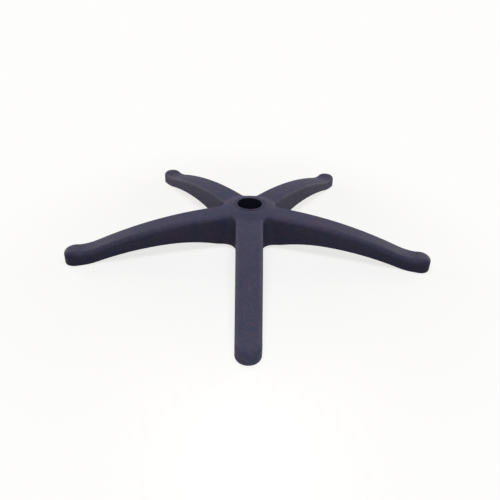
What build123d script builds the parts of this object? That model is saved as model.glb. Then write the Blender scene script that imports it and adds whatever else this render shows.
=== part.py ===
"""Five-armed swivel chair base, one injection moulding in black glass-filled nylon.

One fifth of the base is made with its arm along +X, and is then repeated about the hub axis.
Heights are measured up from the plane of the five feet while the base is made.
The finished base is moved down, so that its origin is at the mouth of the gas lift socket.
Lengths are in millimetres and angles in degrees. One arm points to -Y.
"""
import os
from math import asin, atan2, ceil, cos, degrees, hypot, radians, sin, tan

from build123d import *

# Whole base
arm_count = 5
arm_reach = 350.0             # hub axis to the nose of an arm
hub_height = 74.2             # feet to the mouth of the gas lift socket
front_arm_angle = -90.0       # the arm that points to -Y

# Arms in plan
arm_root_width = 54.0         # between the two side walls where their lines pass the hub axis
arm_end_width = 39.0          # across the round end of an arm
web_radius_low = 25.0         # corner between two arms at the feet
web_radius_high = 12.0        # the same corner at the top of the hub

# Crown, as seen from the side of an arm
saddle_radius = 62.0          # the hub's flare ends here and the arms begin to fall
saddle_height = 65.5
flare_turn = 0.55             # share of the way from the lip to the saddle where the hub's round turns over
neck_setback = 31.0           # from the nose back to the low neck behind the end knob
neck_height = 25.6
crown_turn = 0.885            # share of the way from saddle to neck where the curve turns over
knob_setback = 20.0           # from the nose back to the level top of the end knob
knob_height = 26.8
knob_turn = 0.5
crown_rounding = 9.0          # along the top edges of the arms

# Lower edge of the skirt, as seen from the side of an arm
skirt_height = 5.9            # under the hub
skirt_radius = 56.0           # how far the level skirt under the hub goes out
skirt_turn = 0.19
arch_radius = 160.0           # the highest point of the arch under an arm
arch_height = 20.4
arch_turn = 0.845
foot_length = 30.0            # level foot, from the nose back

# Walls and ribs of the hollow underside
side_wall = 4.0
top_wall = 5.0
rib_thickness = 3.0
rib_setback = 2.0             # the ribs stop this much short of the skirt's lower edge
chord_length = 60.0           # the underside follows the outer curves in straight stretches of about this length
brace_cells = 4               # crossed braces along each arm
brace_start = 84.0            # hub axis to the first brace
brace_clearance = 3.0         # last brace to the caster tube

# Gas lift socket
lift_bore = 50.0
lift_land = 12.0              # straight wall at the mouth
lift_taper = 1.43             # half angle of the cone below the straight wall
lift_tube_wall = 7.0
lift_tube_drop = 2.0          # the tube stands this much below the skirt
lip_width = 3.0               # raised ring around the mouth
lip_height = 1.2
lip_chamfer = 0.4

# Caster sockets, one in each foot
caster_bore = 11.0
caster_depth = 22.0
caster_tube_wall = 5.0

# Worked out from the sizes above
arm_step = 360.0 / arm_count
root_half = arm_root_width / 2
end_half = arm_end_width / 2
caster_radius = arm_reach - end_half
wall_lean = degrees(asin((root_half - end_half) / caster_radius))
lip_radius = lift_bore / 2 + lip_width
lip_foot = (lip_radius, hub_height - lip_height)
lift_tube_radius = lift_bore / 2 + lift_tube_wall
lift_tube_foot = skirt_height - lift_tube_drop
caster_tube_radius = caster_bore / 2 + caster_tube_wall
overcut = 5.0                         # how far a cutting form passes what it cuts
tall = 2 * (hub_height + overcut)     # taller than anything that it cuts
far = arm_reach + overcut

STAND = (Align.CENTER, Align.CENTER, Align.MIN)


def upright(radius, low, high):
    """Upright cylinder on the hub axis between two heights."""
    return Pos(0, 0, low) * Cylinder(radius, high - low, align=STAND)


def fifth(clearance):
    """Plan of one fifth of a turn about +X, held back from the gaps' middle lines."""
    half_step = radians(arm_step / 2)
    start = clearance / sin(half_step)
    edge = (far - start) * tan(half_step)
    return make_face(Polyline((start, 0), (far, -edge), (far, edge), close=True))


def wall_side():
    """Direction square to the arm's left side wall, out of the arm."""
    return Vector(0, 1).rotate(Axis.Z, -wall_lean)


def arm_plan(inset):
    """Plan of the arm along +X out to the middle lines of the gaps beside it, with sharp corners."""
    end_radius = end_half - inset
    corner_distance = (root_half - inset) / sin(radians(arm_step / 2 + wall_lean))
    corner = Vector(corner_distance, 0).rotate(Axis.Z, arm_step / 2)
    shoulder = Vector(caster_radius, 0) + wall_side() * end_radius
    nose = Vector(caster_radius + end_radius, 0)
    left = [Line((0, 0), corner), Line(corner, shoulder)]
    right = [mirror(edge, Plane.XZ) for edge in left]
    end = ThreePointArc(shoulder, nose, Vector(shoulder.X, -shoulder.Y))
    return make_face(left + right + [end])


def web_plan(inset, web_radius):
    """Plan of half the web between the arm and the next one: round outside, straight stretches inside."""
    root = root_half - inset
    half_angle = radians(arm_step / 2 + wall_lean)
    corner = Vector(root / sin(half_angle), 0).rotate(Axis.Z, arm_step / 2)
    centre = Vector((root + web_radius) / sin(half_angle), 0).rotate(Axis.Z, arm_step / 2)
    on_wall = centre - wall_side() * web_radius
    on_gap = centre - centre.normalized() * web_radius
    middle = centre + (on_wall + on_gap - centre * 2).normalized() * web_radius
    curve = ThreePointArc(on_gap, middle, on_wall)
    if inset:
        curve = Polyline(on_gap, middle, on_wall)
    return make_face([Line(corner, on_gap), curve, Line(on_wall, corner)])


def arm_prism(inset):
    """Upright block over the arm's plan, with webs that widen towards the feet."""
    block = extrude(Pos(0, 0, -overcut) * arm_plan(inset), hub_height + 2 * overcut)
    change = (web_radius_low - web_radius_high) / hub_height * overcut
    low = Pos(0, 0, -overcut) * web_plan(inset, web_radius_low + inset + change)
    high = Pos(0, 0, hub_height + overcut) * web_plan(inset, web_radius_high + inset - change)
    web = loft([low, high], ruled=True)
    return block + web + mirror(web, Plane.XZ)


def level_blend(start, end, turn):
    """Two arcs that leave and arrive level and meet at a share of the way."""
    meet = (start[0] + turn * (end[0] - start[0]), start[1] + turn * (end[1] - start[1]))
    return [TangentArc(start, meet, tangent=(1, 0)), TangentArc(end, meet, tangent=(-1, 0))]


def crown_line():
    """Top of an arm: level hub, long fall, neck and level end knob."""
    saddle = (saddle_radius, saddle_height)
    neck = (arm_reach - neck_setback, neck_height)
    knob = (arm_reach - knob_setback, knob_height)
    fall = level_blend(saddle, neck, crown_turn)
    rise = level_blend(neck, knob, knob_turn)
    return [Line((-far, saddle_height), saddle)] + fall + rise + [Line(knob, (far, knob_height))]


def skirt_line():
    """Lower edge of an arm: level skirt, arch and level foot."""
    skirt = (skirt_radius, skirt_height)
    arch = (arch_radius, arch_height)
    foot = (arm_reach - foot_length, 0)
    rise = level_blend(skirt, arch, skirt_turn)
    fall = level_blend(arch, foot, arch_turn)
    return [Line((-far, skirt_height), skirt)] + rise + fall + [Line(foot, (far, 0))]


def in_chords(line):
    """The same line as straight stretches, each arc cut into equal parts."""
    points = [line[0] @ 0]
    for edge in line:
        parts = 1 if edge.geom_type == GeomType.LINE else ceil(edge.length / chord_length)
        backwards = (edge @ 0).X > (edge @ 1).X
        shares = [(part + 1) / parts for part in range(parts)]
        points += [edge @ (1 - share if backwards else share) for share in shares]
    return [Line(start, end) for start, end in zip(points, points[1:])]


def below(line):
    """Everything under a line of the arm, drawn square to its two side walls."""
    start = line[0] @ 0
    end = line[-1] @ 1
    sides = [
        Line(end, (end.X, -tall)),
        Line((end.X, -tall), (start.X, -tall)),
        Line((start.X, -tall), start),
    ]
    wall_plane = Plane(origin=(0, 0, 0), x_dir=Vector(1, 0, 0).rotate(Axis.Z, -wall_lean),
                       z_dir=Vector(0, -1, 0).rotate(Axis.Z, -wall_lean))
    left = extrude(wall_plane * make_face(line + sides), arm_root_width, both=True)
    left &= Pos(0, far, 0) * Box(4 * far, 2 * far, 4 * tall)
    return left + mirror(left, Plane.XZ)


def hub_flare():
    """The hub's rise from the arms to the foot of the lip."""
    saddle = (saddle_radius, saddle_height)
    section = level_blend(lip_foot, saddle, flare_turn) + [
        Line(lip_foot, (0, lip_foot[1])),
        Line((0, lip_foot[1]), (0, skirt_height)),
        Line((0, skirt_height), (saddle_radius, skirt_height)),
        Line((saddle_radius, skirt_height), saddle),
    ]
    return revolve(Plane.XZ * make_face(section), axis=Axis.Z)


def crown_rims(body):
    """Top edges of the upright outer walls, where they meet the crown."""
    rims = []
    gap = radians(arm_step / 2)
    for face in body.faces():
        place = face.center()
        on_gap = abs(abs(atan2(place.Y, place.X)) - gap) < 1e-6
        if on_gap or abs(face.normal_at().Z) > 0.5:
            continue
        rims += [edge for edge in face.edges() if edge.center().Z > place.Z and abs((edge % 0.5).Z) < 0.5]
    return rims


def outer_fifth():
    """One fifth of the closed outer form, with its rounded crown."""
    body = arm_prism(0) & (below(crown_line()) + hub_flare())
    body -= below(skirt_line())
    return fillet(crown_rims(body), crown_rounding)


def rib(start, end):
    """Plan of a rib between two points, run on at both ends into the walls."""
    run = hypot(end[0] - start[0], end[1] - start[1]) + 2 * side_wall
    turn = degrees(atan2(end[1] - start[1], end[0] - start[0]))
    middle = ((start[0] + end[0]) / 2, (start[1] + end[1]) / 2)
    return Pos(*middle) * Rot(0, 0, turn) * Rectangle(run, rib_thickness)


def wall_distance(station):
    """Inner face of a side wall to the middle of its arm, at a distance from the hub axis."""
    return (root_half - side_wall) / cos(radians(wall_lean)) - station * tan(radians(wall_lean))


def rib_plan():
    """Plan of an arm's ribs: a spine, crossed braces and a cross rib at the foot."""
    brace_stop = caster_radius - caster_tube_radius - brace_clearance
    pitch = (brace_stop - brace_start) / brace_cells
    ribs = [rib((0, 0), (arm_reach, 0)), rib((caster_radius, -end_half), (caster_radius, end_half))]
    for cell in range(brace_cells):
        near = brace_start + pitch * cell
        beyond = near + pitch
        ribs.append(rib((near, -wall_distance(near)), (beyond, wall_distance(beyond))))
        ribs.append(rib((near, wall_distance(near)), (beyond, -wall_distance(beyond))))
    return ribs


def hollow():
    """The cells between the ribs, from under the skirt to the underside of the top wall."""
    plan = fifth(rib_thickness / 2) - rib_plan()
    plan -= [Circle(lift_tube_radius), Pos(caster_radius, 0) * Circle(caster_tube_radius)]
    cells = extrude(Pos(0, 0, -overcut) * plan, tall)
    ceiling = Pos(0, 0, -top_wall) * below(in_chords(crown_line()))
    return arm_prism(side_wall) & ceiling & cells


def rib_recess():
    """The thin layer between the skirt's lower edge and the lower edges of the ribs."""
    layer = arm_prism(side_wall) & Pos(0, 0, rib_setback) * below(in_chords(skirt_line()))
    layer -= upright(lift_tube_radius, -tall, tall)
    return layer - Pos(caster_radius, 0, 0) * upright(caster_tube_radius, -tall, tall)


def hub_parts():
    """One fifth of the raised lip, and of the closed foot of the lift tube below the skirt."""
    disc = upright(lip_radius, saddle_height - top_wall, hub_height)
    disc = chamfer(disc.edges().sort_by(Axis.Z)[-1], lip_chamfer)
    foot = upright(lift_tube_radius + overcut, lift_tube_foot, skirt_height + overcut)
    wedge = extrude(fifth(0), tall)
    return [disc & wedge, foot & wedge]


def lift_socket():
    """Form of the gas lift socket: straight wall at the mouth, then a taper through the tube."""
    wall = lift_bore / 2
    land_foot = hub_height - lift_land
    exit_height = lift_tube_foot - overcut
    exit_radius = wall - (land_foot - exit_height) * tan(radians(lift_taper))
    section = Polyline(
        (0, exit_height),
        (exit_radius, exit_height),
        (wall, land_foot),
        (wall, hub_height + overcut),
        (0, hub_height + overcut),
        close=True,
    )
    return revolve(Plane.XZ * make_face(section), axis=Axis.Z)


def caster_socket():
    """Form of the blind caster socket in the foot of the arm along +X."""
    return Pos(caster_radius, 0, 0) * upright(caster_bore / 2, -overcut, caster_depth)


def base_fifth():
    """One fifth of the moulding, with its arm along +X."""
    body = outer_fifth() + hub_parts() - rib_recess()
    return body - hollow() - caster_socket()


def star_base():
    """The whole moulding, standing on its five feet."""
    one = base_fifth()
    angles = [front_arm_angle + arm_step * arm for arm in range(arm_count)]
    arms = [Rot(0, 0, angle) * one for angle in angles]
    return arms[0] + arms[1:] - lift_socket()


os.makedirs("parts", exist_ok=True)
export_step(Pos(0, 0, -hub_height) * star_base(), "parts/star_base.step")
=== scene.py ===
import math

import bmesh
import bpy
from mathutils import Matrix, Vector


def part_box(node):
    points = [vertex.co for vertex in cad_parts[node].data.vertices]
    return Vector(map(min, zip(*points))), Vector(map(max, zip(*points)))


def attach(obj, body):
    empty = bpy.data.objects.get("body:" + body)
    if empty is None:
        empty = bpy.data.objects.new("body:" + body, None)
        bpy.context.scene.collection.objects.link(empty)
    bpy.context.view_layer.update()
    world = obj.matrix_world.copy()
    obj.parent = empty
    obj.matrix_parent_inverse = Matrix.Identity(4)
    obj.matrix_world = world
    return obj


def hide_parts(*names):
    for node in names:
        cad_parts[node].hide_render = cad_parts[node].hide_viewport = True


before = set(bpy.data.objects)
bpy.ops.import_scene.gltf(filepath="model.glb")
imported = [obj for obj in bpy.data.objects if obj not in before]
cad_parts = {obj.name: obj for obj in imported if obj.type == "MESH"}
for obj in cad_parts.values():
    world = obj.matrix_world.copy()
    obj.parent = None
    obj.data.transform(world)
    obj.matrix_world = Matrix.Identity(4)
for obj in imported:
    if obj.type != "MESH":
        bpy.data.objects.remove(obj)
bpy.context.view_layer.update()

scene = bpy.context.scene
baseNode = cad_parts["star_base"]
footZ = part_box("star_base")[0].z


def deselectAll():
    bpy.ops.object.select_all(action="DESELECT")
    bpy.context.view_layer.objects.active = None


def pick(obj):
    deselectAll()
    obj.select_set(True)
    bpy.context.view_layer.objects.active = obj


# Camera, fitted to the outline of the base in the 500 pixel picture
cameraSet = {
    "target": (0.0, 0.0, -0.009135),
    "distance": 0.90783,
    "elevation": 26.862,
    "azimuth": -0.681,
    "roll": 1.650,              # the picture stands a little clockwise
    "focalPixels": 458.454,
    "imageCentre": (254.348, 206.173),   # where the lens looks, in the 500 pixel frame
    "targetPixel": (249.603, 207.575),
    "framePixels": 500.0,
    "sensor": 36.0,             # millimetres
    "nearest": 0.01,            # metres, where the view starts
}


def makeCamera(s):
    data = bpy.data.cameras.new("camera")
    data.sensor_width = s["sensor"]
    data.lens = s["focalPixels"] * s["sensor"] / s["framePixels"]
    half = s["framePixels"] / 2
    centreX, centreY = s["imageCentre"]
    data.shift_x = (half - centreX) / s["framePixels"]
    data.shift_y = (centreY - half) / s["framePixels"]
    data.clip_start = s["nearest"]

    elevation, azimuth, roll = (math.radians(s[k]) for k in ("elevation", "azimuth", "roll"))
    back = Vector((math.sin(azimuth) * math.cos(elevation),
                   -math.cos(azimuth) * math.cos(elevation),
                   math.sin(elevation)))
    forward = -back
    right = forward.cross(Vector((0, 0, 1))).normalized()
    up = right.cross(forward)
    place = Vector(s["target"]) + back * s["distance"]

    # aim so that the target lands on its pixel
    offX = s["targetPixel"][0] - centreX
    offY = centreY - s["targetPixel"][1]
    turnedX = offX * math.cos(roll) - offY * math.sin(roll)
    turnedY = offX * math.sin(roll) + offY * math.cos(roll)
    pan = math.atan2(turnedX, s["focalPixels"])
    tilt = math.atan2(turnedY, math.hypot(s["focalPixels"], turnedX))
    tiltedUp = up * math.cos(tilt) + forward * math.sin(tilt)
    tiltedForward = forward * math.cos(tilt) - up * math.sin(tilt)
    pannedForward = tiltedForward * math.cos(pan) - right * math.sin(pan)
    pannedRight = right * math.cos(pan) + tiltedForward * math.sin(pan)
    axisX = pannedRight * math.cos(roll) + tiltedUp * math.sin(roll)
    axisY = tiltedUp * math.cos(roll) - pannedRight * math.sin(roll)
    axisZ = -pannedForward

    camera = bpy.data.objects.new("camera", data)
    turn = Matrix((axisX, axisY, axisZ)).transposed().to_4x4()
    camera.matrix_world = Matrix.Translation(place) @ turn
    scene.collection.objects.link(camera)
    scene.camera = camera


makeCamera(cameraSet)
print("camera set")


# Moulded black nylon with glass fibre
nylonSet = {
    "shade": (0.0345, 0.0320, 0.0595),
    "shadeDark": (0.0285, 0.0305, 0.0600),
    "shadePale": (0.0415, 0.0330, 0.0585),
    "ior": 1.5,
    "specular": 0.2,
    "flowSize": 0.030,          # slow drift of tone from the melt's flow
    "flowDetail": 3,
    "flowBend": 1.2,
    "flowRange": (0.30, 0.72),
    "flowMiddle": 0.5,
    "grainSize": 0.0014,        # metres from one grain of the mould's texture to the next
    "grainDepth": 0.00012,
    "grainStrength": 0.55,
    "finerGrains": 2.2,         # finer bumps for each grain
    "finerDetail": 2,
    "finerShare": 0.5,
    "pitRange": (0.0, 0.55),    # painted shade in the texture's pits and painted light on its rises
    "pitPaintedShading": (0.66, 1.25),
    "patchSize": 0.0028,        # grains differ a little in tone
    "patchDetail": 1,
    "patchRange": (0.38, 0.62),
    "patchCool": (0.78, 0.86, 0.98),
    "patchWarm": (1.13, 1.06, 1.05),
    "rubSize": 0.012,           # patches that handling has smoothed
    "rubDetail": 4,
    "rubRange": (0.25, 0.75),
    "roughness": (0.65, 0.76),
    "boreRadius": 0.0252,       # the polished core pin leaves the socket smoother; its colour is darkened there as painted shade in the hole
    "borePaintedShade": 0.42,
    "boreRoughness": 0.38,
}


def addNoise(tree, place, size, detail, bend=0.0):
    noise = tree.nodes.new("ShaderNodeTexNoise")
    noise.inputs["Scale"].default_value = 1 / size
    noise.inputs["Detail"].default_value = detail
    noise.inputs["Distortion"].default_value = bend
    tree.links.new(place, noise.inputs["Vector"])
    return noise.outputs["Fac"]


def addRamp(tree, value, stops, shades):
    ramp = tree.nodes.new("ShaderNodeValToRGB")
    elements = ramp.color_ramp.elements
    for i in (0, 1):
        elements[i].position = stops[i]
        elements[i].color = (*shades[i], 1)
    tree.links.new(value, ramp.inputs["Fac"])
    return ramp


def addRange(tree, value, start, end):
    span = tree.nodes.new("ShaderNodeMapRange")
    for i, edge in enumerate(("Min", "Max")):
        span.inputs["From " + edge].default_value = start[i]
        span.inputs["To " + edge].default_value = end[i]
    tree.links.new(value, span.inputs["Value"])
    return span.outputs["Result"]


def addScale(tree, colour, factor):
    scale = tree.nodes.new("ShaderNodeVectorMath")
    scale.operation = "SCALE"
    tree.links.new(colour, scale.inputs[0])
    tree.links.new(factor, scale.inputs["Scale"])
    return scale.outputs["Vector"]


def insideSocket(tree, place, radius):
    # 1 inside the gas lift socket, 0 elsewhere
    add, link = tree.nodes.new, tree.links.new
    parts = add("ShaderNodeSeparateXYZ")
    link(place, parts.inputs["Vector"])
    flat = add("ShaderNodeCombineXYZ")
    link(parts.outputs["X"], flat.inputs["X"])
    link(parts.outputs["Y"], flat.inputs["Y"])
    reach = add("ShaderNodeVectorMath")
    reach.operation = "LENGTH"
    link(flat.outputs["Vector"], reach.inputs[0])
    inside = add("ShaderNodeMath")
    inside.operation = "LESS_THAN"
    link(reach.outputs["Value"], inside.inputs[0])
    inside.inputs[1].default_value = radius
    return inside.outputs["Value"]


def makeNylon(s):
    material = bpy.data.materials.new("mouldedNylon")
    material.use_nodes = True
    tree = material.node_tree
    tree.nodes.clear()
    add, link = tree.nodes.new, tree.links.new

    output = add("ShaderNodeOutputMaterial")
    shader = add("ShaderNodeBsdfPrincipled")
    link(shader.outputs["BSDF"], output.inputs["Surface"])
    shader.inputs["Metallic"].default_value = 0.0
    shader.inputs["IOR"].default_value = s["ior"]
    shader.inputs["Specular IOR Level"].default_value = s["specular"]
    place = add("ShaderNodeTexCoord").outputs["Object"]

    # the texture of the mould, as bumps
    grain = add("ShaderNodeTexVoronoi")
    grain.inputs["Scale"].default_value = 1 / s["grainSize"]
    link(place, grain.inputs["Vector"])
    height = add("ShaderNodeMath")
    height.operation = "MULTIPLY_ADD"
    finer = addNoise(tree, place, s["grainSize"] / s["finerGrains"], s["finerDetail"])
    link(finer, height.inputs[0])
    height.inputs[1].default_value = s["finerShare"]
    link(grain.outputs["Distance"], height.inputs[2])
    bump = add("ShaderNodeBump")
    bump.inputs["Strength"].default_value = s["grainStrength"]
    bump.inputs["Distance"].default_value = s["grainDepth"]
    link(height.outputs["Value"], bump.inputs["Height"])
    link(bump.outputs["Normal"], shader.inputs["Normal"])

    # colour: the melt's flow, then patches, then painted shade in the texture's pits and painted
    # shade in the socket
    flow = addNoise(tree, place, s["flowSize"], s["flowDetail"], s["flowBend"])
    tone = addRamp(tree, flow, s["flowRange"], (s["shadeDark"], s["shadePale"]))
    middle = tone.color_ramp.elements.new(s["flowMiddle"])
    middle.color = (*s["shade"], 1)
    patch = addNoise(tree, place, s["patchSize"], s["patchDetail"])
    hue = addRamp(tree, patch, s["patchRange"], (s["patchCool"], s["patchWarm"]))
    dyed = add("ShaderNodeVectorMath")
    dyed.operation = "MULTIPLY"
    link(tone.outputs["Color"], dyed.inputs[0])
    link(hue.outputs["Color"], dyed.inputs[1])
    # painted shade: the pits of the texture are darkened and its rises lightened in the colour
    paintedPitShading = addRange(tree, grain.outputs["Distance"], s["pitRange"], s["pitPaintedShading"])
    tint = addScale(tree, dyed.outputs["Vector"], paintedPitShading)
    # painted shade: the colour is darkened inside the socket's hole
    bore = insideSocket(tree, place, s["boreRadius"])
    shade = addRange(tree, bore, (0.0, 1.0), (1.0, s["borePaintedShade"]))
    link(addScale(tree, tint, shade), shader.inputs["Base Color"])

    rub = addNoise(tree, place, s["rubSize"], s["rubDetail"])
    finish = add("ShaderNodeMix")
    finish.data_type = "FLOAT"
    link(bore, finish.inputs["Factor"])
    link(addRange(tree, rub, s["rubRange"], s["roughness"]), finish.inputs["A"])
    finish.inputs["B"].default_value = s["boreRoughness"]
    link(finish.outputs["Result"], shader.inputs["Roughness"])
    return material


# The moulding itself: the CAD surface with its doubles merged, softened edges and the ring's groove
mouldingSet = {
    "mergeDistance": 0.00001,
    "flatAngle": 0.3,           # degrees between triangles that are one flat face
    "creaseAngle": 32.0,
    "armCount": 5,
    "frontArmAngle": -90.0,
    "armHalfWidth": 0.027,      # at the hub axis
    "armNarrowing": 0.0227,     # half width lost for each metre along the arm
    "casterRadius": 0.3305,
    "edgeRound": 0.0015,        # on the outer lower edge of the skirt
    "edgeSteps": 2,
    "edgeSlack": 0.0008,        # how far inside the arm's outline an outer edge may lie
    "wallLean": 0.2,            # a wall's normal rises or falls less than this
    "underLean": -0.6,          # and an underside's normal falls more than this
    "grooveRadius": 0.0292,     # at the foot of the ring round the mouth
    "grooveSize": 0.0010,
    "grooveSteps": (96, 12),
    "grooveDepth": 0.0012,      # from the mouth down to the middle of the groove
}


def isOuterLowEdge(edge, s):
    if len(edge.link_faces) != 2:
        return False
    wall, under = sorted(edge.link_faces, key=lambda face: abs(face.normal.z))
    if abs(wall.normal.z) > s["wallLean"] or under.normal.z > s["underLean"]:
        return False
    middle = (edge.verts[0].co + edge.verts[1].co) / 2
    step = 2 * math.pi / s["armCount"]
    first = math.radians(s["frontArmAngle"])
    angle = first + round((math.atan2(middle.y, middle.x) - first) / step) * step
    along = Vector((math.cos(angle), math.sin(angle), 0))
    station = min(middle.dot(along), s["casterRadius"])
    aside = middle - along * station
    aside.z = 0
    halfWidth = s["armHalfWidth"] - s["armNarrowing"] * station
    return wall.normal.dot(aside) > 0 and aside.length > halfWidth - s["edgeSlack"]


def roundLowEdges(moulding, s):
    pick(moulding)
    bpy.ops.object.mode_set(mode="EDIT")
    bpy.ops.mesh.select_mode(type="EDGE")
    bpy.ops.mesh.select_all(action="SELECT")
    bpy.ops.mesh.dissolve_limited(angle_limit=math.radians(s["flatAngle"]))
    bpy.ops.mesh.select_all(action="DESELECT")
    bm = bmesh.from_edit_mesh(moulding.data)
    count = 0
    for edge in bm.edges:
        if isOuterLowEdge(edge, s):
            edge.select_set(True)
            count += 1
    bmesh.update_edit_mesh(moulding.data)
    bpy.ops.mesh.bevel(offset=s["edgeRound"], segments=s["edgeSteps"],
                       affect="EDGES", clamp_overlap=True)
    bpy.ops.object.mode_set(mode="OBJECT")
    print("low edges rounded:", count)


def cutGroove(moulding, s):
    deselectAll()
    roundSteps, barSteps = s["grooveSteps"]
    bpy.ops.mesh.primitive_torus_add(location=(0, 0, -s["grooveDepth"]),
                                     major_radius=s["grooveRadius"], minor_radius=s["grooveSize"],
                                     major_segments=roundSteps, minor_segments=barSteps)
    cutter = bpy.context.active_object
    pick(moulding)
    groove = moulding.modifiers.new("groove", "BOOLEAN")
    groove.operation = "DIFFERENCE"
    groove.solver = "EXACT"
    groove.object = cutter
    bpy.ops.object.modifier_apply(modifier=groove.name)
    bpy.data.objects.remove(cutter, do_unlink=True)


def makeMoulding(s):
    mesh = baseNode.data.copy()
    moulding = bpy.data.objects.new("starBaseMoulding", mesh)
    scene.collection.objects.link(moulding)
    pick(moulding)
    bpy.ops.object.mode_set(mode="EDIT")
    bpy.ops.mesh.select_all(action="SELECT")
    bpy.ops.mesh.remove_doubles(threshold=s["mergeDistance"])
    bpy.ops.object.mode_set(mode="OBJECT")
    bpy.ops.mesh.customdata_custom_splitnormals_clear()
    roundLowEdges(moulding, s)
    cutGroove(moulding, s)
    pick(moulding)
    bpy.ops.object.shade_smooth_by_angle(angle=math.radians(s["creaseAngle"]))
    moulding.data.materials.clear()
    moulding.data.materials.append(makeNylon(nylonSet))
    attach(moulding, "root")
    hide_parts("star_base")
    print("faces in the moulding:", len(moulding.data.polygons))


makeMoulding(mouldingSet)
print("moulding made")


# Pale floor and soft studio light
studioSet = {
    "floorReach": 30.0,
    "white": (0.99, 0.985, 0.975),   # the plain background, on the far floor and in the world
    "floorShade": (0.90, 0.905, 0.94),
    "floorBounce": (0.07, 0.07, 0.04),
    "floorGap": 0.0002,         # below the feet
    "matteReach": (0.21, 0.60),   # between these the floor turns to plain white
    "whiteShare": 0.75,         # of the white in the matte middle
    "ambient": 0.13,
}
fillTint = (1.0, 0.95, 0.84)    # the low lamps are warmer than the one overhead
lampSet = {
    "keyLamp": {"place": (0.0, -0.22, 0.9), "aim": (0, -0.12, 0), "size": 0.7,
                "power": 6.6, "tint": (1.0, 1.0, 1.0)},
    "rightLamp": {"place": (1.4, 0.75, 0.30), "aim": (0, 0, 0), "size": 0.8,
                  "power": 15.5, "tint": fillTint},
    "leftLamp": {"place": (-1.4, 0.75, 0.30), "aim": (0, 0, 0), "size": 0.8,
                 "power": 15.5, "tint": fillTint},
    "frontLamp": {"place": (0.0, -0.60, -0.01), "aim": (0, -0.3, -0.05), "size": 0.12,
                  "power": 0.66, "tint": fillTint},
}


def backgroundRays(tree):
    # camera, glossy and transmission rays all meet the white background
    rays = tree.nodes.new("ShaderNodeLightPath")
    seen = rays.outputs["Is Camera Ray"]
    for kind in ("Is Glossy Ray", "Is Transmission Ray"):
        either = tree.nodes.new("ShaderNodeMath")
        either.operation = "MAXIMUM"
        tree.links.new(seen, either.inputs[0])
        tree.links.new(rays.outputs[kind], either.inputs[1])
        seen = either.outputs["Value"]
    return seen


def paleFloor(s):
    material = bpy.data.materials.new("paleFloor")
    material.use_nodes = True
    tree = material.node_tree
    tree.nodes.clear()
    add, link = tree.nodes.new, tree.links.new

    output = add("ShaderNodeOutputMaterial")

    # the matte middle keeps the shadow of the base
    matte = add("ShaderNodeBsdfDiffuse")
    matte.inputs["Color"].default_value = (*s["floorShade"], 1)
    white = add("ShaderNodeEmission")
    white.inputs["Color"].default_value = (*s["white"], 1)
    white.inputs["Strength"].default_value = 1.0
    place = add("ShaderNodeTexCoord")
    apart = add("ShaderNodeVectorMath")
    apart.operation = "LENGTH"
    link(place.outputs["Object"], apart.inputs[0])
    fade = add("ShaderNodeMapRange")
    fade.interpolation_type = "SMOOTHSTEP"
    fade.inputs["From Min"].default_value = s["matteReach"][0]
    fade.inputs["From Max"].default_value = s["matteReach"][1]
    fade.inputs["To Min"].default_value = s["whiteShare"]
    fade.inputs["To Max"].default_value = 1.0
    link(apart.outputs["Value"], fade.inputs["Value"])
    view = add("ShaderNodeMixShader")
    link(fade.outputs["Result"], view.inputs["Fac"])
    link(matte.outputs["BSDF"], view.inputs[1])
    link(white.outputs["Emission"], view.inputs[2])

    bounce = add("ShaderNodeBsdfDiffuse")
    bounce.inputs["Color"].default_value = (*s["floorBounce"], 1)
    mix = add("ShaderNodeMixShader")
    link(backgroundRays(tree), mix.inputs["Fac"])
    link(bounce.outputs["BSDF"], mix.inputs[1])
    link(view.outputs["Shader"], mix.inputs[2])
    link(mix.outputs["Shader"], output.inputs["Surface"])
    return material


def makeLamp(name, s):
    data = bpy.data.lights.new(name, "AREA")
    data.shape = "DISK"
    data.size = s["size"]
    data.energy = s["power"]
    data.color = s["tint"]
    lamp = bpy.data.objects.new(name, data)
    lamp.visible_camera = False
    lamp.location = s["place"]
    lamp.rotation_euler = (Vector(s["aim"]) - lamp.location).to_track_quat("-Z", "Y").to_euler()
    scene.collection.objects.link(lamp)
    return lamp


def makeStudio(s, lamps):
    deselectAll()
    floorZ = footZ - s["floorGap"]
    bpy.ops.mesh.primitive_plane_add(size=s["floorReach"], location=(0, 0, floorZ))
    floor = bpy.context.active_object
    floor.name = "floor"
    floor.data.materials.append(paleFloor(s))

    made = {name: makeLamp(name, lamp) for name, lamp in lamps.items()}
    made["frontLamp"].visible_glossy = False   # a fill only, with no streak on the arms

    world = bpy.data.worlds.new("studio")
    scene.world = world
    world.use_nodes = True
    tree = world.node_tree
    tree.nodes.clear()
    add, link = tree.nodes.new, tree.links.new
    output = add("ShaderNodeOutputWorld")
    ambient = add("ShaderNodeBackground")
    ambient.inputs["Color"].default_value = (1, 1, 1, 1)
    ambient.inputs["Strength"].default_value = s["ambient"]
    seen = add("ShaderNodeBackground")
    seen.inputs["Color"].default_value = (*s["white"], 1)
    seen.inputs["Strength"].default_value = 1.0
    mix = add("ShaderNodeMixShader")
    link(backgroundRays(tree), mix.inputs["Fac"])
    link(ambient.outputs["Background"], mix.inputs[1])
    link(seen.outputs["Background"], mix.inputs[2])
    link(mix.outputs["Shader"], output.inputs["Surface"])

    scene.view_settings.view_transform = "Standard"


makeStudio(studioSet, lampSet)
print("studio set")
